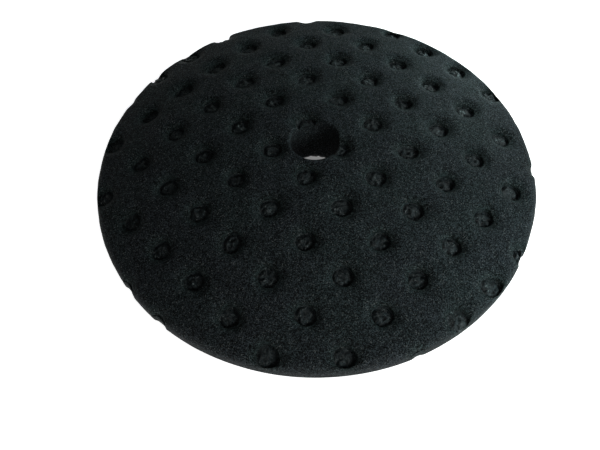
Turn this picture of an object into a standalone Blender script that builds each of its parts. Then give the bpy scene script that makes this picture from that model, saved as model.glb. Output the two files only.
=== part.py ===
"""Foam polishing pad for a car polisher.

A domed disc of soft foam carries a diagonal grid of collapsed pockets on its working face and a hole
through its centre. A film of adhesive bonds its flat back to a disc of loop fabric, which grips the
hooks of the polisher's backing plate. Metres, +Z up out of the working face, with the origin on the
loop fabric's outer face at the middle of the centre hole.
"""

import math

import bpy
from mathutils import Matrix, Vector

# Foam disc
PAD_DIAMETER = 0.165  # at the widest part of the rim
FOAM_THICKNESS = 0.0197  # from the flat back to where the dome's top would be
EDGE_THICKNESS = 0.0057  # from the flat back to where the dome would reach the rim
RIM_ROUND = 0.004  # radius between the dome and the rim
BACK_EDGE_ROUND = 0.0006  # radius between the rim and the flat back

# Centre hole, cut through all the layers
HOLE_DIAMETER = 0.0182
HOLE_EDGE_ROUND = 0.0008

# Collapsed pockets, on a grid whose rows lie half a pitch apart
POCKET_PITCH = 0.0249  # between neighbours in one row
POCKET_GRID_START = Vector((-0.0033, 0.0092))  # one pocket's place, from the centre hole
POCKET_PIT_DIAMETER = 0.0076  # across the top of the pit
POCKET_WALL_LEAN = 0.0005  # how far the pit's wall leans inwards on its way down
POCKET_SHOULDER_WIDTH = 0.0021  # of the sunken ring of face around the pit
POCKET_SHOULDER_DEPTH = 0.0012
POCKET_DEPTH = 0.0029
POCKET_BUTTON_RISE = 0.0008  # how far the fused middle stands above the pit's floor
FOAM_UNDER_POCKET = 0.002  # a pocket is shallower where it would leave less foam than this

# Bond and backing
FILM_THICKNESS = 0.0003
LOOP_THICKNESS = 0.0018
LOOP_RIM_SETBACK = 0.0065  # the loop fabric's edge stands back from the foam's rim
LOOP_HOLE_SETBACK = 0.0005  # the loop fabric's hole stands back from the foam's
FILM_SETBACK = 0.0015  # the film stops short of the loop fabric's edges
LAYER_GAP = 0.0003  # between layers that lie on each other

# Colours and roughness
BLACK_FOAM = (0.016, 0.018, 0.019)
BLACK_FOAM_ROUGHNESS = 0.95
AMBER_ADHESIVE = (0.55, 0.50, 0.38)
AMBER_ADHESIVE_ROUGHNESS = 0.35
CHARCOAL_LOOP = (0.05, 0.05, 0.055)
CHARCOAL_LOOP_ROUGHNESS = 0.9

# Facets
TURN_STEPS = 72
DOME_STEPS = 9
EDGE_STEPS = 3
POCKET_SIDES = 10
CUTTER_RISE = 0.004  # how far a pocket's cutter stands out of the face
MERGE_DISTANCE = 0.000001

PAD_RADIUS = PAD_DIAMETER / 2
HOLE_RADIUS = HOLE_DIAMETER / 2
PIT_RADIUS = POCKET_PIT_DIAMETER / 2
MOUTH_RADIUS = PIT_RADIUS + POCKET_SHOULDER_WIDTH
LOOP_OUTER_RADIUS = PAD_RADIUS - LOOP_RIM_SETBACK
LOOP_INNER_RADIUS = HOLE_RADIUS + LOOP_HOLE_SETBACK

FILM_BACK = LOOP_THICKNESS + LAYER_GAP
FOAM_BACK = FILM_BACK + FILM_THICKNESS + LAYER_GAP

# The dome is the sphere that falls from the foam's full thickness to its edge's
DOME_DROP = FOAM_THICKNESS - EDGE_THICKNESS
DOME_RADIUS = (PAD_RADIUS**2 + DOME_DROP**2) / (2 * DOME_DROP)
DOME_CENTRE = FOAM_BACK + FOAM_THICKNESS - DOME_RADIUS


def clear_scene():
    for obj in list(bpy.data.objects):
        bpy.data.objects.remove(obj, do_unlink=True)


def new_collection(name):
    collection = bpy.data.collections.new(name)
    bpy.context.scene.collection.children.link(collection)
    return collection


def new_material(name, colour, roughness):
    material = bpy.data.materials.new(name)
    material.use_nodes = True
    shader = material.node_tree.nodes["Principled BSDF"]
    shader.inputs["Base Color"].default_value = (*colour, 1.0)
    shader.inputs["Roughness"].default_value = roughness
    shader.inputs["Metallic"].default_value = 0.0
    return material


def turned(name, profile, edges, steps, collection):
    """A profile of (radius, height) points, which runs down its outer side, turned about Z."""
    mesh = bpy.data.meshes.new(name)
    mesh.from_pydata([(radius, 0.0, height) for radius, height in profile], edges, [])
    obj = bpy.data.objects.new(name, mesh)
    collection.objects.link(obj)
    screw = obj.modifiers.new("Turn", "SCREW")
    screw.steps = steps
    screw.render_steps = steps
    screw.use_smooth_shade = True
    screw.use_merge_vertices = True
    screw.merge_threshold = MERGE_DISTANCE
    return obj


def turned_ring(name, profile, collection, material):
    """A ring about Z, from a closed profile."""
    edges = [(i, (i + 1) % len(profile)) for i in range(len(profile))]
    ring = turned(name, profile, edges, TURN_STEPS, collection)
    ring.data.materials.append(material)
    return ring


def weight_normals(obj):
    """Shades flat faces flat and round ones smooth."""
    obj.modifiers.new("Shading", "WEIGHTED_NORMAL")


def arc(centre, radius, start, end, steps):
    """Points on a circle in the profile's plane, from one angle to another."""
    angles = [start + (end - start) * i / steps for i in range(steps + 1)]
    return [(centre[0] + radius * math.cos(a), centre[1] + radius * math.sin(a)) for a in angles]


def dome_height(radius):
    return DOME_CENTRE + math.sqrt(DOME_RADIUS**2 - radius**2)


def round_under_dome(centre_radius, round_radius):
    """Centre of a round that touches the dome from inside, and the angle at which they touch."""
    reach = DOME_RADIUS - round_radius
    angle = math.acos(centre_radius / reach)
    return (centre_radius, DOME_CENTRE + reach * math.sin(angle)), angle


def largest_rim_round():
    """The rim's round that runs straight into the back edge's, with no wall between them."""
    wall_end = FOAM_BACK + BACK_EDGE_ROUND - DOME_CENTRE
    return (DOME_RADIUS**2 - PAD_RADIUS**2 - wall_end**2) / (2 * (DOME_RADIUS - PAD_RADIUS))


def foam_profile():
    """The foam's section: edge of the hole, dome, rounded rim, back edge and hole wall."""
    lip_centre, dome_start = round_under_dome(HOLE_RADIUS + HOLE_EDGE_ROUND, HOLE_EDGE_ROUND)
    rim_round = min(RIM_ROUND, largest_rim_round())
    rim_centre, dome_end = round_under_dome(PAD_RADIUS - rim_round, rim_round)
    back_centre = (PAD_RADIUS - BACK_EDGE_ROUND, FOAM_BACK + BACK_EDGE_ROUND)

    lip = arc(lip_centre, HOLE_EDGE_ROUND, math.pi, dome_start, EDGE_STEPS)
    dome = arc((0.0, DOME_CENTRE), DOME_RADIUS, dome_start, dome_end, DOME_STEPS)
    rim = arc(rim_centre, rim_round, dome_end, 0.0, EDGE_STEPS)
    back_edge = arc(back_centre, BACK_EDGE_ROUND, 0.0, -math.pi / 2, EDGE_STEPS)
    return [*lip, *dome[1:-1], *rim, *back_edge, (HOLE_RADIUS, FOAM_BACK)]


def layer_profile(outer_radius, inner_radius, bottom, thickness):
    top = bottom + thickness
    return [(inner_radius, top), (outer_radius, top), (outer_radius, bottom), (inner_radius, bottom)]


def pocket_places():
    """Where the pockets lie, out to those whose shoulders the rim cuts."""
    row_step = POCKET_PITCH / 2
    reach = PAD_RADIUS + MOUTH_RADIUS
    count = math.ceil(2 * reach / row_step)
    places = []
    for row in range(-count, count + 1):
        for column in range(-count, count + 1):
            if (row + column) % 2:
                continue
            place = POCKET_GRID_START + Vector((column, row)) * row_step
            if place.length < reach:
                places.append(place)
    return places


def pocket_profile(flattening):
    """A pocket's section: above the face, down the shoulder and the pit's wall, to the button's top."""
    return [
        (0.0, CUTTER_RISE),
        (MOUTH_RADIUS, CUTTER_RISE),
        (MOUTH_RADIUS, 0.0),
        (PIT_RADIUS, -POCKET_SHOULDER_DEPTH * flattening),
        (PIT_RADIUS - POCKET_WALL_LEAN, -POCKET_DEPTH * flattening),
        (0.0, (POCKET_BUTTON_RISE - POCKET_DEPTH) * flattening),
    ]


def pocket_room(radius):
    """How deep a pocket there may go, square to the dome, judged where its floor lies lowest."""
    tilt = math.asin(radius / DOME_RADIUS)
    to_the_rim = PAD_RADIUS - radius + POCKET_DEPTH * math.sin(tilt)
    downhill = min(PIT_RADIUS, to_the_rim / math.cos(tilt))
    lowest_face = dome_height(radius) - downhill * math.sin(tilt)
    return (lowest_face - FOAM_BACK - FOAM_UNDER_POCKET) / math.cos(tilt)


def pocket_cutter(name, place, collection):
    """The solid that cuts one pocket, square to the dome."""
    on_face = Vector((place.x, place.y, dome_height(place.length)))
    profile = pocket_profile(min(1.0, pocket_room(place.length) / POCKET_DEPTH))
    edges = [(i, i + 1) for i in range(len(profile) - 1)]
    cutter = turned(name, profile, edges, POCKET_SIDES, collection)
    outward = on_face - Vector((0.0, 0.0, DOME_CENTRE))
    cutter.matrix_world = Matrix.Translation(on_face) @ outward.to_track_quat("Z", "Y").to_matrix().to_4x4()
    cutter.hide_render = True
    cutter.display_type = "WIRE"


def foam_disc(parts, cutters):
    material = new_material("black_foam", BLACK_FOAM, BLACK_FOAM_ROUGHNESS)
    foam = turned_ring("foam_disc", foam_profile(), parts, material)
    for number, place in enumerate(pocket_places(), start=1):
        pocket_cutter(f"pocket_cutter_{number:02d}", place, cutters)
    cut = foam.modifiers.new("Pockets", "BOOLEAN")
    cut.operation = "DIFFERENCE"
    cut.operand_type = "COLLECTION"
    cut.collection = cutters
    weight_normals(foam)


def adhesive_film(parts):
    outer, inner = LOOP_OUTER_RADIUS - FILM_SETBACK, LOOP_INNER_RADIUS + FILM_SETBACK
    material = new_material("hot_melt", AMBER_ADHESIVE, AMBER_ADHESIVE_ROUGHNESS)
    profile = layer_profile(outer, inner, FILM_BACK, FILM_THICKNESS)
    weight_normals(turned_ring("adhesive_film", profile, parts, material))


def loop_backing(parts):
    material = new_material("loop_fabric", CHARCOAL_LOOP, CHARCOAL_LOOP_ROUGHNESS)
    profile = layer_profile(LOOP_OUTER_RADIUS, LOOP_INNER_RADIUS, 0.0, LOOP_THICKNESS)
    weight_normals(turned_ring("loop_backing", profile, parts, material))


def main():
    clear_scene()
    parts = new_collection("polishing_pad")
    cutters = new_collection("cutters")
    foam_disc(parts, cutters)
    adhesive_film(parts)
    loop_backing(parts)


main()
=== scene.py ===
"""The looks of a black foam polishing pad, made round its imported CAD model.

The foam is one closed mesh: a domed face with collapsed pockets, whose middles the heat has fused into
rough buttons, a die-cut rim, the wall of the centre hole and the back. The loop fabric is a sheet under
it, and the film of adhesive between the two stays the CAD's. Metres, +Z up out of the working face.
"""

import math

import bpy
import numpy as np
from mathutils import Matrix, Vector
from mathutils.geometry import delaunay_2d_cdt


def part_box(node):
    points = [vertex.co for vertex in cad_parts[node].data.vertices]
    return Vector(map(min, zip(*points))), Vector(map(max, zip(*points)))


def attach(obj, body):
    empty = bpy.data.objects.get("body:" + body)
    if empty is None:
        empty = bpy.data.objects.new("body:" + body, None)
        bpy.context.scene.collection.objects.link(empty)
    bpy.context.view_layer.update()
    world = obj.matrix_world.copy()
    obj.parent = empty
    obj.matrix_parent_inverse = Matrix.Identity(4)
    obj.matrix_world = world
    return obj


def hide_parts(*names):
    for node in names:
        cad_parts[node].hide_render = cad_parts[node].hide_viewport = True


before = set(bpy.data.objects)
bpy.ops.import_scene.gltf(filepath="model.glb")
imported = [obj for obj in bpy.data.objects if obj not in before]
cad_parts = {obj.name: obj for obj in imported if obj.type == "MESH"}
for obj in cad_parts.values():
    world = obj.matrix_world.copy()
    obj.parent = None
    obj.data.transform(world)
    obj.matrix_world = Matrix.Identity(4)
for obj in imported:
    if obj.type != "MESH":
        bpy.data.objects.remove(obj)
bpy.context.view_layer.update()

# The CAD's layers
FOAM_LOW, FOAM_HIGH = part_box("foam_disc")
PAD_RADIUS = FOAM_HIGH.x
FILM_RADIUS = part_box("adhesive_film")[1].x
LOOP_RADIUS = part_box("loop_backing")[1].x

# The CAD's sizes that its boxes don't show
FOAM_THICKNESS = 0.0197
EDGE_THICKNESS = 0.0057
RIM_ROUND = 0.004
BACK_EDGE_ROUND = 0.0006
HOLE_RADIUS = 0.0091
HOLE_EDGE_ROUND = 0.0008
LOOP_HOLE_RADIUS = 0.0096
FILM_HOLE_RADIUS = 0.0111
POCKET_PITCH = 0.0249
POCKET_GRID_START = Vector((-0.0033, 0.0092))
PIT_RADIUS = 0.0038
PIT_WALL_LEAN = 0.0005
MOUTH_RADIUS = 0.0059
POCKET_DEPTH = 0.0029
FOAM_UNDER_POCKET = 0.002

DOME_DROP = FOAM_THICKNESS - EDGE_THICKNESS
DOME_RADIUS = (PAD_RADIUS**2 + DOME_DROP**2) / (2 * DOME_DROP)
DOME_CENTRE = FOAM_LOW.z + FOAM_THICKNESS - DOME_RADIUS

# Layers as bonded: they close the CAD's gaps
LOOP_TOP = 0.00205
FOAM_BACK_OUTSIDE_FILM = 0.00215
FOAM_BACK_ON_FILM = 0.00245
FILM_COVER = 0.0003  # how far the foam's raised back reaches past the film's edges

# Pockets
SHOULDER_START = PIT_RADIUS - 0.0006
SHOULDER_REACH = 0.0075
SHOULDER_DEPTH = 0.0012
SHOULDER_POWER = 1.6  # how quickly the sunken shoulder rises outside the pit
PIT_SWELLS = np.array([0.0, 0.0, 0.035, 0.022, 0.014, 0.012, 0.009])  # for 0 to 6 waves round its outline
PIT_WALL_MIDDLE = PIT_RADIUS - PIT_WALL_LEAN / 2
WALL_SOFTNESS = 0.00006
BUTTON_RADIUS = 0.0032
BUTTON_HEIGHT = 0.0008
BUTTON_POWER = 3.6  # a higher power makes a button's top flatter
LUMP_HEIGHT = 0.00046
LUMP_SPACING = 0.0026
LUMP_RISE = 0.4  # raises the lumps by this share of their height
CREASE_SPACING = 0.0014
CREASE_SHARE = 1.2  # depth of the creases between the lumps, as a share of the lumps' height
LUMPS_OFF_BUTTON = 0.35  # how much of the lumps is left beside the button
NEAR_POCKET = SHOULDER_REACH * 1.3  # past this, a pocket leaves the face alone
EDGE_CLEARANCE = 0.002  # a pocket whose mouth is closer to the rim than this is meshed as a cut one
UPRIGHT_START = PAD_RADIUS - 0.006  # from here outwards, pockets sink more and more straight down
UPRIGHT_END = PAD_RADIUS - 0.001
RELIEF_BLEND = 6  # how sharply a pocket's floor meets the rim's round
FUSED_WHERE_SUNK = 0.3  # a place is fused only where it sinks by this share of the pocket's depth

# Rim, drawn in beside the pockets that lie across it
RIM_PULL = 0.0006
RIM_PULL_REACH = 0.0005  # it acts for pockets whose middles lie closer to the rim than this, or past it
RIM_PULL_WIDTH = 0.0030
RIM_PULL_POWER = 8  # a higher power makes a nick's ends sharper
RIM_PULL_BAND = 0.009  # how far in from the rim it fades out

# Unevenness of the face, as heights and spacings. It fades out by the hole and the rim.
FACE_UNEVENNESS = ((0.00016, 0.030), (0.00005, 0.007), (0.000018, 0.0026))
CALM_BY_HOLE = 0.003
CALM_BY_RIM = 0.002
CUT_HEIGHT = 0.00007  # roughness of the hole's cut wall
CUT_SPACING = 0.0022

# Steps of the foam's section
LIP_STEPS = 12
DOME_STEPS = 160
RIM_STEPS = 24
BACK_EDGE_STEPS = 8
SLOPE_STEP = 0.0001

# Spacing of the foam's mesh
FACE_SPACING = 0.00105
FACE_SCATTER = 0.22  # how far the face's points stray, as a share of their spacing
AROUND_SPACING = FACE_SPACING * 0.8
NOTCH_SPACING = 0.00038
RIM_SPACING = 0.00070
RIM_STEP = RIM_SPACING * 0.9
LIP_SPACING = 0.00030
LIP_ROWS = 7
EDGE_MARGIN = 0.7  # points of a cut pocket keep this share of a spacing from the edge
POINT_MARGIN = 0.0001
PIT_SIDES = 44
LEAST_SIDES = 6
OUTER_RING = SHOULDER_REACH - 0.0004
SHOULDER_RINGS = ((OUTER_RING, 34), (0.0058, 38), (0.0051, 42), (0.0045, PIT_SIDES))
WALL_RINGS = 9
WALL_RINGS_REACH = 0.00052  # either side of the middle of the pit's wall
BUTTON_RINGS = 7
BUTTON_RINGS_START = PIT_WALL_MIDDLE - 0.00085
BUTTON_RINGS_END = 0.00035
WALL_ROWS = 26
BACK_SPACING = 0.0022
BACK_STEP_SHARE = 1.6  # how much closer points lie along the steps in the back
BACK_STEP_REACH = 0.00005
BACK_RINGS = ((PAD_RADIUS - 0.0016, 420), (PAD_RADIUS - 0.0032, 300), (LOOP_RADIUS, 260))

# Loop fabric
LOOP_RIM_SIDES = 520
LOOP_HOLE_SIDES = 80
LOOP_RIM_INSET = 0.00015
LOOP_HOLE_INSET = 0.0001
LOOP_SPACING = 0.00085
LOOP_SCATTER = 0.25
LOOP_TOP_SPACING = 0.004
LOOP_TOP_HOLE_MARGIN = 0.003
PILE_LOW = 0.00032  # how high the pile's underside lies where its loops are even
PILE_HIGH = 0.0009
PILE_EDGE_RISE = 0.0004
TUFT_HEIGHT = 0.00022
TUFT_SPACING = 0.0024
TUFT_STRETCH = (1.0, 0.6)
LOOSE_LOOPS = 0.00012
SIDE_LEVELS = (0.35, 0.7)  # rows of points up the fabric's cut edges, as shares of its thickness
FRAY = 0.0006  # roughness of the cut edges, as a share of their radius
FRAY_BAND = 0.0003
FRAY_SPACING = 0.004

# Foam cells and colours
CELL_SCALE = 4000.0  # cells to the metre
CELL_POWER = 2.6  # a higher power leaves fewer cells bright
CELL_BRIGHTNESS = 3.4
FOAM_GREY = (0.0120, 0.0148, 0.0172, 1.0)
# the teal of the foam's patches, also used as painted light on the pockets' shoulders
FOAM_TEAL = (0.0108, 0.0168, 0.0166, 1.0)
# Painted glints: a few cells are coloured bright where the light would sparkle on their membranes
FOAM_PAINTED_GLINT = (0.11, 0.12, 0.12, 1.0)
FUSED_DARK = (0.005, 0.0075, 0.0085, 1.0)
# pale end of the fused skin, lifted as painted light so that the buttons read lit inside the shaded pits
FUSED_PALE_AND_PAINTED_LIGHT = (0.027, 0.042, 0.048, 1.0)
# Painted glints on the fused skin's bright specks
FUSED_PAINTED_GLINT = (0.20, 0.25, 0.25, 1.0)
LOOP_DARK = (0.012, 0.012, 0.014, 1.0)
LOOP_PALE = (0.11, 0.11, 0.12, 1.0)
ADHESIVE_DEEP = (0.42, 0.36, 0.24, 1.0)
ADHESIVE_PALE = (0.66, 0.60, 0.46, 1.0)
FLOOR_GREY = (0.86, 0.86, 0.86, 1.0)
WHITE = (1.0, 1.0, 1.0, 1.0)

# Stage
CAMERA_PLACE = Vector((0.0, -0.15711, 0.20401))
CAMERA_AIM = Vector((-0.00554, -0.02366, 0.0017))
CAMERA_ROLL = math.radians(-2.24)
CAMERA_LENS = 39.49
CAMERA_SENSOR = 36.0
CAMERA_CLIP_START = 0.005

FLOOR_HALF_WIDTH = 6.0
FLOOR_GLOW = 0.95
FLOOR_GLOW_UNDER_PAD = 0.20

LIGHT_AIM = Vector((0.0, 0.0, 0.01))
WORLD_STRENGTH = 0.05

# Name, azimuth from +X towards +Y, elevation, distance, size, power and colour
LIGHTS = (
    ("key_near", -45.0, 25.0, 0.5, 0.2, 1.15, (0.97, 1.0, 0.97)),
    ("key_far", 25.0, 22.0, 0.4, 0.15, 0.45, (0.88, 1.0, 1.0)),
    ("front", -90.0, 30.0, 1.0, 0.6, 0.85, (1.0, 0.97, 0.90)),
    ("back", 85.0, 20.0, 0.9, 0.4, 0.75, (0.80, 1.0, 0.95)),
    ("rim_far", 45.0, 8.0, 0.155, 0.04, 0.058, (0.70, 1.0, 1.0)),
    ("rim_near", -30.0, 8.0, 0.155, 0.04, 0.042, (0.70, 1.0, 1.0)),
)

# Seeds of all that is random
SEED = 20
UNEVENNESS_SEED = SEED + 1
CUT_SEED = SEED + 4
LOOP_SEED = SEED + 60
FRAY_SEED = SEED + 61
TUFT_SEED = SEED + 62
LUMP_SEED = SEED * 7
CREASE_SEED = SEED * 9


# Numbers and shapes

def smooth_step(low, high, value):
    t = np.clip((value - low) / (high - low), 0.0, 1.0)
    return t * t * (3.0 - 2.0 * t)


def ripple(points, wavelength, seed, waves=36):
    """Uneven heights, mostly from -1 to 1, in bumps about half a wavelength wide."""
    rng = np.random.default_rng(seed)
    directions = rng.normal(size=(waves, points.shape[1]))
    directions /= np.linalg.norm(directions, axis=1)[:, None]
    turns = directions * rng.uniform(0.7, 1.4, (waves, 1)) * 2 * math.pi / wavelength
    phases = rng.uniform(0, 2 * math.pi, waves)
    return np.cos(points @ turns.T + phases).sum(axis=1) * math.sqrt(0.5 / waves)


def dome_height(radius):
    return DOME_CENTRE + np.sqrt(DOME_RADIUS**2 - radius**2)


def arc(centre, radius, start, end, steps):
    angles = np.linspace(start, end, steps + 1)
    return np.stack([centre[0] + radius * np.cos(angles), centre[1] + radius * np.sin(angles)], axis=1)


def round_under_dome(centre_radius, round_radius):
    """Centre of a round that touches the dome from inside, and the angle at which they touch."""
    reach = DOME_RADIUS - round_radius
    angle = math.acos(centre_radius / reach)
    return (centre_radius, DOME_CENTRE + reach * math.sin(angle)), angle


def foam_profile():
    """The foam's section from the hole's edge over the dome and round the rim to the back."""
    lip_centre, dome_start = round_under_dome(HOLE_RADIUS + HOLE_EDGE_ROUND, HOLE_EDGE_ROUND)
    rim_centre, dome_end = round_under_dome(PAD_RADIUS - RIM_ROUND, RIM_ROUND)
    back_centre = (PAD_RADIUS - BACK_EDGE_ROUND, FOAM_BACK_OUTSIDE_FILM + BACK_EDGE_ROUND)
    return np.concatenate([
        arc(lip_centre, HOLE_EDGE_ROUND, math.pi, dome_start, LIP_STEPS),
        arc((0.0, DOME_CENTRE), DOME_RADIUS, dome_start, dome_end, DOME_STEPS)[1:],
        arc(rim_centre, RIM_ROUND, dome_end, 0.0, RIM_STEPS)[1:],
        arc(back_centre, BACK_EDGE_ROUND, 0.0, -math.pi / 2, BACK_EDGE_STEPS),
    ])


# Distances along the section, counted on from the hole's radius. They lay the face out flat.
PROFILE = foam_profile()
PROFILE_LENGTHS = np.linalg.norm(np.diff(PROFILE, axis=0), axis=1)
ALONG = HOLE_RADIUS + np.concatenate([[0.0], np.cumsum(PROFILE_LENGTHS)])
FACE_START = ALONG[0]
FACE_END = ALONG[-1]
LIP_END = HOLE_RADIUS + HOLE_EDGE_ROUND
LIP_END_ALONG = np.interp(LIP_END, PROFILE[:LIP_STEPS * 2, 0], ALONG[:LIP_STEPS * 2])


def spread(radius):
    """A radius on the dome, laid flat along the section."""
    turn = math.asin(radius / DOME_RADIUS) - math.asin(LIP_END / DOME_RADIUS)
    return LIP_END_ALONG + DOME_RADIUS * turn


def on_surface(flat):
    """Places and outward directions on the foam for points of the flattened face."""
    along = np.linalg.norm(flat, axis=1)
    out = flat / along[:, None]
    radii, heights = PROFILE[:, 0], PROFILE[:, 1]
    before, after = along - SLOPE_STEP, along + SLOPE_STEP
    run = np.interp(after, ALONG, radii) - np.interp(before, ALONG, radii)
    rise = np.interp(after, ALONG, heights) - np.interp(before, ALONG, heights)
    length = np.hypot(run, rise)
    radius, height = np.interp(along, ALONG, radii), np.interp(along, ALONG, heights)
    places = np.column_stack([out * radius[:, None], height])
    normals = np.column_stack([out * (-rise / length)[:, None], run / length])
    return places, normals


def triangulated(points):
    """Triangles between points of a plane, facing up, as places in their list."""
    in_millimetres = points * 1000
    result = delaunay_2d_cdt([Vector(p) for p in in_millimetres], [], [], 0, 1e-6)
    first = np.array([ids[0] for ids in result[3]])
    triangles = first[np.array(result[2])]
    a, b, c = (points[triangles[:, k]] for k in range(3))
    turn = (b[:, 0] - a[:, 0]) * (c[:, 1] - a[:, 1]) - (b[:, 1] - a[:, 1]) * (c[:, 0] - a[:, 0])
    triangles[turn < 0] = triangles[turn < 0][:, ::-1]
    return triangles


def triangulated_ring(points, hole_count):
    """Triangles between points, of which the first go round a hole that stays open."""
    triangles = triangulated(points)
    return triangles[~(triangles < hole_count).all(axis=1)]


def circle(radius, count, turn=0.0):
    angles = (np.arange(count) + turn) * 2 * math.pi / count
    return np.stack([radius * np.cos(angles), radius * np.sin(angles)], axis=1)


def hexagonal(spacing, reach, centre=(0.0, 0.0)):
    """Points in even triangles over a disc."""
    count = math.ceil(reach / spacing) + 1
    column, row = np.meshgrid(np.arange(-count, count + 1), np.arange(-count * 2, count * 2 + 1))
    points = np.stack([(column + row % 2 / 2) * spacing, row * spacing * math.sqrt(3) / 2], axis=-1)
    points = points.reshape(-1, 2)
    return points[np.linalg.norm(points, axis=1) < reach] + np.asarray(centre)


def outside(points, radius):
    return points[np.linalg.norm(points, axis=1) > radius]


def between(points, inner, outer):
    along = np.linalg.norm(points, axis=1)
    return points[(along > inner) & (along < outer)]


def clear_of(points, centres, distance):
    """The points that lie farther than the distance from every centre."""
    for centre in centres:
        points = points[np.linalg.norm(points - centre, axis=1) > distance]
    return points


def mesh_object(name, vertices, faces):
    mesh = bpy.data.meshes.new(name)
    mesh.from_pydata(vertices.tolist(), [], faces)
    mesh.shade_smooth()
    obj = bpy.data.objects.new(name, mesh)
    bpy.context.scene.collection.objects.link(obj)
    return obj


# Pockets

def pocket_room(radius):
    """How deep a pocket there may go, square to the dome, judged where its floor lies lowest."""
    tilt = math.asin(radius / DOME_RADIUS)
    to_the_rim = PAD_RADIUS - radius + POCKET_DEPTH * math.sin(tilt)
    downhill = min(PIT_RADIUS, to_the_rim / math.cos(tilt))
    lowest_face = float(dome_height(radius)) - downhill * math.sin(tilt)
    return (lowest_face - FOAM_LOW.z - FOAM_UNDER_POCKET) / math.cos(tilt)


class Pocket:
    """One collapsed pocket, with its own uneven outline, depth and button."""

    def __init__(self, place, number):
        rng = np.random.default_rng(SEED + number)
        radius = place.length
        self.number = number
        self.radius = radius
        self.flat = np.array(place / radius * spread(radius))
        self.centre = np.array([place.x, place.y, float(dome_height(radius))])
        self.axis = self.centre - np.array([0.0, 0.0, DOME_CENTRE])
        self.axis /= np.linalg.norm(self.axis)
        self.east = np.cross([0.0, 1.0, 0.0], self.axis)
        self.east /= np.linalg.norm(self.east)
        self.north = np.cross(self.axis, self.east)
        self.flattening = min(1.0, pocket_room(radius) / POCKET_DEPTH)
        by_the_rim = radius > PAD_RADIUS - MOUTH_RADIUS - EDGE_CLEARANCE
        by_the_hole = radius < HOLE_RADIUS + MOUTH_RADIUS
        self.at_an_edge = by_the_rim or by_the_hole
        self.swell = rng.normal(0.0, 1.0, len(PIT_SWELLS)) * PIT_SWELLS
        self.phase = rng.uniform(0, 2 * math.pi, len(PIT_SWELLS))
        self.size = rng.uniform(0.95, 1.05)
        self.depth = POCKET_DEPTH * self.flattening * rng.uniform(0.95, 1.08)
        self.shift = rng.normal(0.0, 0.00012, 2)
        self.button_shift = rng.normal(0.0, 0.00022, 2)
        self.button_size = rng.uniform(0.9, 1.06)
        self.button_height = BUTTON_HEIGHT * self.flattening * rng.uniform(0.8, 1.25)
        self.button_lean = rng.normal(0.0, 0.05, 2)
        self.roughness = rng.uniform(0.75, 1.35)

    def outline(self, angle):
        """How far the pit's edge lies from its middle, as a share of the even radius."""
        parts = [self.swell[k] * np.cos(k * angle + self.phase[k]) for k in range(2, len(PIT_SWELLS))]
        return self.size * (1.0 + sum(parts))

    def rings(self):
        """Points that follow the pit's edge, close together where its wall is steep."""
        radii = list(SHOULDER_RINGS)
        leans = np.linspace(WALL_RINGS_REACH, -WALL_RINGS_REACH, WALL_RINGS)
        radii += [(PIT_WALL_MIDDLE + lean, PIT_SIDES) for lean in leans]
        for radius in np.linspace(BUTTON_RINGS_START, BUTTON_RINGS_END, BUTTON_RINGS):
            radii.append((radius, max(LEAST_SIDES, round(PIT_SIDES * radius / PIT_WALL_MIDDLE))))
        rings = []
        for radius, count in radii:
            angle = np.arange(count) * 2 * math.pi / count
            reach = radius * self.outline(angle)
            rings.append(np.stack([reach * np.cos(angle), reach * np.sin(angle)], axis=1) + self.shift)
        return self.flat + np.concatenate(rings)

    def lumps(self, across):
        """Heights of the fused foam's lumps, with creases between them."""
        lumps = ripple(across, LUMP_SPACING, LUMP_SEED + self.number)
        creases = np.abs(ripple(across, CREASE_SPACING, CREASE_SEED + self.number)) * CREASE_SHARE
        return (lumps - creases + LUMP_RISE) * LUMP_HEIGHT * self.roughness * self.flattening

    def button(self, across):
        """How far the fused middle stands above the pit's floor."""
        on_button = across - self.button_shift
        reach = np.linalg.norm(on_button, axis=1) / (BUTTON_RADIUS * self.button_size)
        crown = np.clip(1.0 - reach**BUTTON_POWER, 0.0, 1.0)
        lean = 1.0 + on_button @ self.button_lean / BUTTON_RADIUS * 3
        lumpy = LUMPS_OFF_BUTTON + (1 - LUMPS_OFF_BUTTON) * np.sqrt(crown)
        return crown * self.button_height * lean + self.lumps(across) * lumpy

    def relief(self, places):
        """How deep the face is sunk at each place, and how much of it is fused and pressed."""
        offset = places - self.centre
        across = np.stack([offset @ self.east, offset @ self.north], axis=1) - self.shift
        reach = np.linalg.norm(across, axis=1)
        pit = reach / self.outline(np.arctan2(across[:, 1], across[:, 0]))
        pressed = 1.0 - smooth_step(SHOULDER_START, SHOULDER_REACH, pit)
        shoulder = SHOULDER_DEPTH * self.flattening * pressed**SHOULDER_POWER
        edge = (pit - PIT_WALL_MIDDLE) / WALL_SOFTNESS
        inside = 1.0 / (1.0 + np.exp(np.clip(edge, -40, 40)))
        sunk = shoulder * (1.0 - inside) + (self.depth - self.button(across)) * inside
        return np.maximum(sunk, 0.0), inside, pressed


def pocket_places():
    """Where the pockets lie, out to those whose shoulders the rim cuts."""
    row_step = POCKET_PITCH / 2
    reach = PAD_RADIUS + MOUTH_RADIUS
    count = math.ceil(2 * reach / row_step)
    places = []
    for row in range(-count, count + 1):
        for column in range(-count, count + 1):
            if (row + column) % 2:
                continue
            place = POCKET_GRID_START + Vector((column, row)) * row_step
            if place.length < reach:
                places.append(place)
    return places


# Foam

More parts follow.
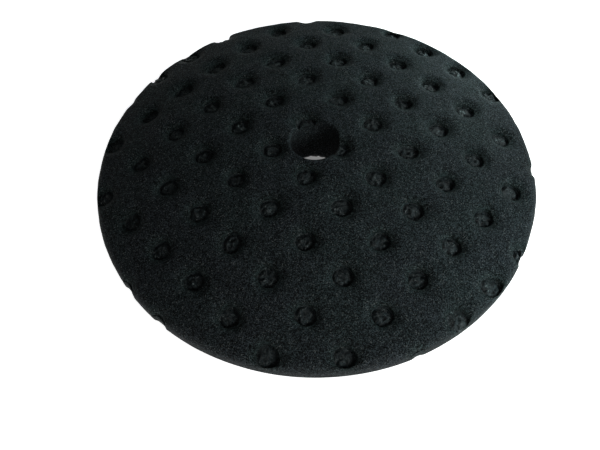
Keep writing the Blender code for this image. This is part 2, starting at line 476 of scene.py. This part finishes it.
def face_points(pockets):
    """Points over the flattened face: its two edges first, then what lies between them."""
    lip_count = round(2 * math.pi * FACE_START / LIP_SPACING)
    rim_count = round(2 * math.pi * FACE_END / RIM_SPACING)
    edge_pockets = [p.flat for p in pockets if p.at_an_edge]

    lip = [circle(FACE_START + LIP_SPACING * row, lip_count, row / 2) for row in range(LIP_ROWS)]
    rim_rows = round((FACE_END - spread(PAD_RADIUS - RIM_ROUND)) / RIM_STEP)
    rim = [circle(FACE_END - RIM_STEP * row, rim_count, row / 2) for row in range(rim_rows)]
    loose = clear_of(np.concatenate(lip[1:] + rim[1:]), edge_pockets, MOUTH_RADIUS)
    inner, outer = FACE_START + LIP_SPACING * LIP_ROWS, FACE_END - RIM_STEP * rim_rows

    # Pockets that an edge cuts get even points, and the others get rings
    notches = np.concatenate([hexagonal(NOTCH_SPACING, MOUTH_RADIUS, p) for p in edge_pockets])
    notch_start, notch_end = FACE_START + EDGE_MARGIN * LIP_SPACING, FACE_END - EDGE_MARGIN * NOTCH_SPACING
    notches = between(notches, notch_start, notch_end)
    rings = np.concatenate([p.rings() for p in pockets if not p.at_an_edge])

    rng = np.random.default_rng(SEED)
    face = hexagonal(FACE_SPACING, FACE_END)
    face = face + rng.uniform(-FACE_SCATTER, FACE_SCATTER, face.shape) * FACE_SPACING
    face = clear_of(between(face, inner, outer), [p.flat for p in pockets], SHOULDER_REACH - POINT_MARGIN)

    around = outside(hexagonal(AROUND_SPACING, OUTER_RING), MOUTH_RADIUS + POINT_MARGIN)
    around = between(np.concatenate([around + p for p in edge_pockets]), inner, outer)
    points = np.concatenate([lip[0], rim[0], loose, notches, rings, face, around])
    return points, lip_count, rim_count


def sink_pockets(places, pockets):
    """Sinks the face's places into the pockets, and tells where it is fused and where pressed."""
    radius = np.linalg.norm(places[:, :2], axis=1)
    drop = np.maximum(dome_height(np.minimum(radius, PAD_RADIUS)) - places[:, 2], 0.0)
    upright = smooth_step(UPRIGHT_START, UPRIGHT_END, radius)[:, None]
    up = np.array([0.0, 0.0, 1.0])
    fused = np.zeros(len(places))
    pressed = np.zeros(len(places))
    moved = places.copy()
    for pocket in pockets:
        near = np.linalg.norm(places - pocket.centre, axis=1) < NEAR_POCKET
        sunk, inside, shoulder = pocket.relief(places[near])
        before = drop[near]
        after = (before**RELIEF_BLEND + sunk**RELIEF_BLEND) ** (1 / RELIEF_BLEND)
        axis = pocket.axis * (1 - upright[near]) + up * upright[near]
        moved[near] -= axis * (after - before)[:, None]
        mostly = after - before > FUSED_WHERE_SUNK * sunk
        fused[near] = np.maximum(fused[near], inside * mostly)
        pressed[near] = np.maximum(pressed[near], shoulder)
    return moved, fused, pressed


def draw_in(places, pockets):
    """Pulls the rim inwards beside each pocket whose middle lies by it or just past it."""
    radius = np.linalg.norm(places[:, :2], axis=1)
    pull = np.zeros(len(places))
    for pocket in pockets:
        if pocket.radius > PAD_RADIUS - RIM_PULL_REACH:
            distance = np.linalg.norm(places[:, :2] - pocket.centre[:2], axis=1)
            fade = np.exp(-((distance / RIM_PULL_WIDTH) ** RIM_PULL_POWER))
            pull = np.maximum(pull, RIM_PULL * fade)
    pull *= smooth_step(PAD_RADIUS - RIM_PULL_BAND, PAD_RADIUS, radius)
    places[:, :2] *= 1 - (pull / radius)[:, None]
    return places


def shaped_face(flat, pockets):
    """Places of the finished face, and where it is fused and where pressed."""
    places, normals = on_surface(flat)
    along = np.linalg.norm(flat, axis=1)
    calm = smooth_step(FACE_START, FACE_START + CALM_BY_HOLE, along)
    calm *= smooth_step(FACE_END, FACE_END - CALM_BY_RIM, along)
    uneven = np.zeros(len(places))
    for number, (height, spacing) in enumerate(FACE_UNEVENNESS):
        uneven += height * ripple(places, spacing, UNEVENNESS_SEED + number)
    face, fused, pressed = sink_pockets(places, pockets)
    face = draw_in(face, pockets)
    face += normals * (uneven * calm * (1 - fused))[:, None]
    return face, fused, pressed


def hole_wall(top):
    """Places down the centre hole's wall, row by row from the edge of the face to the back."""
    foot = circle(HOLE_RADIUS, len(top))
    rows = []
    for depth in np.linspace(0.0, 1.0, WALL_ROWS + 1)[1:]:
        row = top.copy()
        row[:, :2] += (foot - top[:, :2]) * depth
        row[:, 2] += (FOAM_BACK_OUTSIDE_FILM - top[:, 2]) * depth
        cut = CUT_HEIGHT * ripple(row, CUT_SPACING, CUT_SEED) * math.sin(math.pi * depth)
        row[:, :2] *= 1 + (cut / HOLE_RADIUS)[:, None]
        rows.append(row)
    return np.concatenate(rows)


def foam_back_height(radius):
    on_film = (radius < FILM_RADIUS + FILM_COVER) & (radius > FILM_HOLE_RADIUS - FILM_COVER)
    return np.where(on_film, FOAM_BACK_ON_FILM, FOAM_BACK_OUTSIDE_FILM)


def back_points():
    """Points over the foam's flat back, with close rings at the two steps by the film's edges."""
    rings = []
    for step in (FILM_RADIUS + FILM_COVER, FILM_HOLE_RADIUS - FILM_COVER):
        count = round(2 * math.pi * step / BACK_SPACING * BACK_STEP_SHARE)
        rings.append(circle(step + BACK_STEP_REACH, count))
        rings.append(circle(step - BACK_STEP_REACH, count))
    rings += [circle(radius, count) for radius, count in BACK_RINGS]
    middle = hexagonal(BACK_SPACING, FILM_RADIUS - BACK_SPACING)
    return np.concatenate(rings + [outside(middle, FILM_HOLE_RADIUS + BACK_SPACING)])


def foam_body(pockets):
    flat, lip_count, rim_count = face_points(pockets)
    lip = np.arange(lip_count)
    rim = lip_count + np.arange(rim_count)
    face_faces = triangulated_ring(flat, lip_count)
    face, fused, pressed = shaped_face(flat, pockets)

    wall = hole_wall(face[lip])
    columns = len(face) + np.arange(len(wall)).reshape(WALL_ROWS, lip_count)
    columns = np.concatenate([lip[None, :], columns])
    following = np.roll(columns, -1, axis=1)
    wall_faces = np.stack([columns[:-1], following[:-1], following[1:], columns[1:]], axis=-1)

    middle = back_points()
    back = np.column_stack([middle, foam_back_height(np.linalg.norm(middle, axis=1))])
    hole_edge = circle(HOLE_RADIUS, lip_count)
    rim_edge = circle(PAD_RADIUS - BACK_EDGE_ROUND, rim_count)
    back_faces = triangulated_ring(np.concatenate([hole_edge, rim_edge, middle]), lip_count)
    corners = np.concatenate([columns[-1], rim, len(face) + len(wall) + np.arange(len(back))])
    back_faces = corners[back_faces][:, ::-1]

    vertices = np.concatenate([face, wall, back])
    faces = face_faces.tolist() + wall_faces.reshape(-1, 4).tolist() + back_faces.tolist()
    foam = mesh_object("foam_body", vertices, faces)
    pressed = np.append(pressed, np.zeros(len(wall) + len(back)))
    layer = foam.data.attributes.new("pressed", "FLOAT", "POINT")
    layer.data.foreach_set("value", pressed.astype(np.float32))
    foam.data.materials.append(foam_material())
    foam.data.materials.append(fused_material())
    material_numbers = np.zeros(len(faces), np.int32)
    material_numbers[:len(face_faces)] = (fused[face_faces] > 0.5).all(axis=1)
    foam.data.polygons.foreach_set("material_index", material_numbers)
    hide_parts("foam_disc")
    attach(foam, "root")


# Loop fabric

def loop_layers():
    """The fabric's places from its underside to its top, and the flat points of those two."""
    rng = np.random.default_rng(LOOP_SEED)
    hole = circle(LOOP_HOLE_RADIUS + LOOP_HOLE_INSET, LOOP_HOLE_SIDES)
    rim = circle(LOOP_RADIUS - LOOP_RIM_INSET, LOOP_RIM_SIDES)
    edge_count = LOOP_HOLE_SIDES + LOOP_RIM_SIDES

    pile = hexagonal(LOOP_SPACING, LOOP_RADIUS - LOOP_SPACING)
    pile += rng.uniform(-LOOP_SCATTER, LOOP_SCATTER, pile.shape) * LOOP_SPACING
    under = np.concatenate([hole, rim, outside(pile, LOOP_HOLE_RADIUS + LOOP_SPACING)])
    tufts = TUFT_HEIGHT * ripple(under * TUFT_STRETCH, TUFT_SPACING, TUFT_SEED)
    tufts += LOOSE_LOOPS * rng.normal(size=len(under))
    bottom = np.column_stack([under, np.clip(PILE_LOW - tufts, 0.0, PILE_HIGH)])
    bottom[:edge_count, 2] += PILE_EDGE_RISE

    middle = hexagonal(LOOP_TOP_SPACING, LOOP_RADIUS - LOOP_TOP_SPACING)
    over = np.concatenate([hole, rim, outside(middle, LOOP_HOLE_RADIUS + LOOP_TOP_HOLE_MARGIN)])
    top = np.column_stack([over, np.full(len(over), LOOP_TOP)])

    sides = []
    for level in SIDE_LEVELS:
        row = bottom[:edge_count] * (1 - level) + top[:edge_count] * level
        row[:, :2] *= 1 + FRAY * rng.normal(size=(edge_count, 1))
        sides.append(row)
    return [bottom, *sides, top], under, over


def loop_side_faces(starts):
    """Faces up the fabric's cut edges, between layers whose first places these are."""
    edges = ((0, LOOP_HOLE_SIDES, False), (LOOP_HOLE_SIDES, LOOP_RIM_SIDES, True))
    faces = []
    for low, high in zip(starts[:-1], starts[1:]):
        for first, count, faces_outwards in edges:
            ring = first + np.arange(count)
            following = first + (np.arange(count) + 1) % count
            quads = [low + ring, low + following, high + following, high + ring]
            quads = quads if faces_outwards else quads[::-1]
            faces += np.stack(quads, axis=1).tolist()
    return faces


def loop_fabric():
    """A disc of loop fabric. Its brushed loops stand in uneven tufts on the side that faces down."""
    layers, under, over = loop_layers()
    vertices = np.concatenate(layers)
    frayed = np.linalg.norm(vertices[:, :2], axis=1) > LOOP_RADIUS - FRAY_BAND
    vertices[frayed, :2] *= 1 + FRAY * ripple(vertices[frayed, :2], FRAY_SPACING, FRAY_SEED)[:, None]

    starts = np.cumsum([0] + [len(layer) for layer in layers[:-1]])
    bottom_faces = triangulated_ring(under, LOOP_HOLE_SIDES)[:, ::-1]
    top_faces = triangulated_ring(over, LOOP_HOLE_SIDES) + starts[-1]
    faces = bottom_faces.tolist() + top_faces.tolist() + loop_side_faces(starts)
    loop = mesh_object("loop_fabric", vertices, faces)
    loop.data.materials.append(loop_material())
    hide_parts("loop_backing")
    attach(loop, "root")


# Materials

def new_material(name):
    material = bpy.data.materials.new(name)
    material.use_nodes = True
    return material, material.node_tree.nodes["Principled BSDF"]


def add_node(material, kind, inputs, **settings):
    """A new node. Each input is a plain value or another node's output."""
    node = material.node_tree.nodes.new("ShaderNode" + kind)
    for name, value in settings.items():
        setattr(node, name, value)
    for name, value in inputs.items():
        if isinstance(value, bpy.types.NodeSocket):
            material.node_tree.links.new(value, node.inputs[name])
        else:
            node.inputs[name].default_value = value
    return node


def object_place(material):
    return add_node(material, "TexCoord", {}).outputs["Object"]


def maths(material, operation, first, second):
    return add_node(material, "Math", {0: first, 1: second}, operation=operation).outputs[0]


def remap(material, value, low, high, to_low, to_high):
    inputs = {"Value": value, "From Min": low, "From Max": high, "To Min": to_low, "To Max": to_high}
    return add_node(material, "MapRange", inputs).outputs["Result"]


def noise(material, place, scale, detail, **more):
    inputs = {"Vector": place, "Scale": scale, "Detail": detail, **more}
    return add_node(material, "TexNoise", inputs).outputs["Fac"]


def mix_colours(material, factor, first, second, blend="MIX"):
    inputs = {"Factor": factor, 6: first, 7: second}
    return add_node(material, "Mix", inputs, data_type="RGBA", blend_type=blend).outputs[2]


def link_bump(material, shader, height, strength, distance):
    bump = add_node(material, "Bump", {"Height": height, "Strength": strength, "Distance": distance})
    material.node_tree.links.new(bump.outputs["Normal"], shader.inputs["Normal"])


def cell_grain_and_painted_light(material, place):
    """Fine foam cells: each has its own tone, with painted shade in their hollow middles and, here and
    there, painted glints on bright membranes.
    """
    cells = add_node(material, "TexVoronoi", {"Vector": place, "Scale": CELL_SCALE})
    cell = add_node(material, "SeparateColor", {"Color": cells.outputs["Color"]})
    shade = remap(material, cell.outputs["Red"], 0.0, 1.0, 0.05, 1.0)
    shade = maths(material, "POWER", shade, CELL_POWER)
    # painted shade: each cell darkens towards its hollow middle, where the bump sinks it, and lightens at
    # its rims
    pore_shade = remap(material, cells.outputs["Distance"], 0.10, 0.75, 0.45, 1.6)
    grain_and_pore_shade = maths(material, "MULTIPLY", maths(material, "MULTIPLY", shade, pore_shade), CELL_BRIGHTNESS)
    # painted glints: a few cells, picked at random, turn bright
    painted_glint = remap(material, cell.outputs["Green"], 0.965, 0.985, 0.0, 1.0)
    return cells, cell, grain_and_pore_shade, painted_glint


def tinted(material, value, colour):
    grey = add_node(material, "CombineColor", {"Red": value, "Green": value, "Blue": value})
    return mix_colours(material, 1.0, colour, grey.outputs["Color"], "MULTIPLY")


def foam_material():
    """Fine black cells with painted glints on their membranes, a teal cast in patches, and painted teal
    light on the pockets' pressed shoulders.
    """
    material, shader = new_material("black_foam")
    link = material.node_tree.links.new
    place = object_place(material)
    cells, cell, grain_and_pore_shade, painted_glint = cell_grain_and_painted_light(material, place)

    cast = remap(material, noise(material, place, 55.0, 3.0), 0.40, 0.66, 0.0, 0.55)
    pressed = add_node(material, "Attribute", {}, attribute_name="pressed").outputs["Fac"]
    # the patches are the foam's own tone; the teal on the pressed shoulders is painted light
    teal = maths(material, "MAXIMUM", cast, maths(material, "MULTIPLY", pressed, 0.8))
    body = mix_colours(material, teal, FOAM_GREY, FOAM_TEAL)
    body = tinted(material, grain_and_pore_shade, body)
    # painted glints over the foam's colour
    link(mix_colours(material, painted_glint, body, FOAM_PAINTED_GLINT), shader.inputs["Base Color"])
    link(remap(material, cell.outputs["Blue"], 0.0, 1.0, 0.6, 0.95), shader.inputs["Roughness"])
    shader.inputs["Specular IOR Level"].default_value = 0.10

    height = maths(material, "MULTIPLY", cells.outputs["Distance"], 0.5)
    height = maths(material, "ADD", height, maths(material, "MULTIPLY", cell.outputs["Red"], 0.5))
    link_bump(material, shader, height, 0.8, 0.0002)
    return material


def fused_material():
    """Foam that heat has melted shut: a dark, wrinkled skin with a dull gloss. Its paler tones are lifted
    as painted light in the shaded pits, and its bright specks are painted glints.
    """
    material, shader = new_material("fused_foam")
    link = material.node_tree.links.new
    place = object_place(material)
    _, cell, grain_and_pore_shade, painted_glint = cell_grain_and_painted_light(material, place)

    skin = noise(material, place, 1300.0, 4.0, Roughness=0.65)
    # the skin's tone, its pale end lifted as painted light
    body = mix_colours(material, skin, FUSED_DARK, FUSED_PALE_AND_PAINTED_LIGHT)
    body = tinted(material, remap(material, grain_and_pore_shade, 0.0, 2.5, 0.5, 1.6), body)
    # painted glints over the fused skin's colour
    link(mix_colours(material, painted_glint, body, FUSED_PAINTED_GLINT), shader.inputs["Base Color"])
    link(remap(material, skin, 0.35, 0.65, 0.20, 0.46), shader.inputs["Roughness"])
    shader.inputs["Specular IOR Level"].default_value = 0.45

    height = maths(material, "ADD", skin, maths(material, "MULTIPLY", cell.outputs["Red"], 0.2))
    link_bump(material, shader, height, 1.0, 0.0009)
    return material


def loop_material():
    """Brushed nylon loops: fine tangled fibres over a knitted ground."""
    material, shader = new_material("loop_knit")
    place = object_place(material)
    nap = add_node(material, "Mapping", {"Vector": place, "Scale": (1.0, 0.28, 1.0)}).outputs["Vector"]
    fibres = noise(material, nap, 2200.0, 3.0, Roughness=0.7, Distortion=1.2)
    pale = remap(material, fibres, 0.30, 0.72, 0.0, 1.0)
    colour = mix_colours(material, pale, LOOP_DARK, LOOP_PALE)
    material.node_tree.links.new(colour, shader.inputs["Base Color"])
    shader.inputs["Roughness"].default_value = 0.85
    shader.inputs["Sheen Weight"].default_value = 0.35

    waves = {"Vector": place, "Scale": 250.0, "Distortion": 2.0, "Detail": 2.0}
    knit = add_node(material, "TexWave", waves)
    height = maths(material, "MULTIPLY", knit.outputs["Fac"], 0.3)
    link_bump(material, shader, maths(material, "ADD", fibres, height), 0.9, 0.0004)
    return material


def adhesive_material():
    """Amber hot-melt, a little cloudy and rippled."""
    material, shader = new_material("hot_melt_film")
    link = material.node_tree.links.new
    cloud = noise(material, object_place(material), 260.0, 4.0)
    link(mix_colours(material, cloud, ADHESIVE_DEEP, ADHESIVE_PALE), shader.inputs["Base Color"])
    link(remap(material, cloud, 0.3, 0.7, 0.25, 0.5), shader.inputs["Roughness"])
    link_bump(material, shader, cloud, 0.4, 0.0003)
    return material


def floor_material():
    """A plain pale table that glows a little, and less so under the pad."""
    material, shader = new_material("pale_floor")
    reach = add_node(material, "VectorMath", {0: object_place(material)}, operation="LENGTH")
    reach = reach.outputs["Value"]
    glow = remap(material, reach, HOLE_RADIUS, PAD_RADIUS, FLOOR_GLOW_UNDER_PAD, FLOOR_GLOW)
    material.node_tree.links.new(glow, shader.inputs["Emission Strength"])
    shader.inputs["Base Color"].default_value = FLOOR_GREY
    shader.inputs["Roughness"].default_value = 0.7
    shader.inputs["Emission Color"].default_value = WHITE
    return material


# Stage

def add_floor():
    bpy.ops.mesh.primitive_plane_add(size=2 * FLOOR_HALF_WIDTH)
    floor = bpy.context.object
    floor.name = "floor"
    floor.data.materials.append(floor_material())


def aimed(place, aim):
    return Matrix.Translation(place) @ (aim - place).to_track_quat("-Z", "Y").to_matrix().to_4x4()


def add_camera():
    camera = bpy.data.objects.new("camera", bpy.data.cameras.new("camera"))
    bpy.context.scene.collection.objects.link(camera)
    camera.data.lens = CAMERA_LENS
    camera.data.sensor_width = CAMERA_SENSOR
    camera.data.clip_start = CAMERA_CLIP_START
    camera.matrix_world = aimed(CAMERA_PLACE, CAMERA_AIM) @ Matrix.Rotation(CAMERA_ROLL, 4, "Z")
    bpy.context.scene.camera = camera


def add_light(name, azimuth, elevation, distance, size, power, colour):
    """A soft square light that looks at the pad and is itself never in the picture."""
    data = bpy.data.lights.new(name, "AREA")
    data.size = size
    data.energy = power
    data.color = colour
    light = bpy.data.objects.new(name, data)
    bpy.context.scene.collection.objects.link(light)
    a, e = math.radians(azimuth), math.radians(elevation)
    towards = Vector((math.cos(a) * math.cos(e), math.sin(a) * math.cos(e), math.sin(e)))
    light.matrix_world = aimed(LIGHT_AIM + towards * distance, LIGHT_AIM)
    light.visible_camera = False


def add_world():
    world = bpy.data.worlds.new("studio")
    world.use_nodes = True
    background = world.node_tree.nodes["Background"]
    background.inputs["Color"].default_value = WHITE
    background.inputs["Strength"].default_value = WORLD_STRENGTH
    bpy.context.scene.world = world
    bpy.context.scene.view_settings.view_transform = "Standard"


def main():
    foam_body([Pocket(place, number) for number, place in enumerate(pocket_places())])
    loop_fabric()
    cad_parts["adhesive_film"].material_slots[0].material = adhesive_material()
    add_floor()
    add_camera()
    for light in LIGHTS:
        add_light(*light)
    add_world()


main()
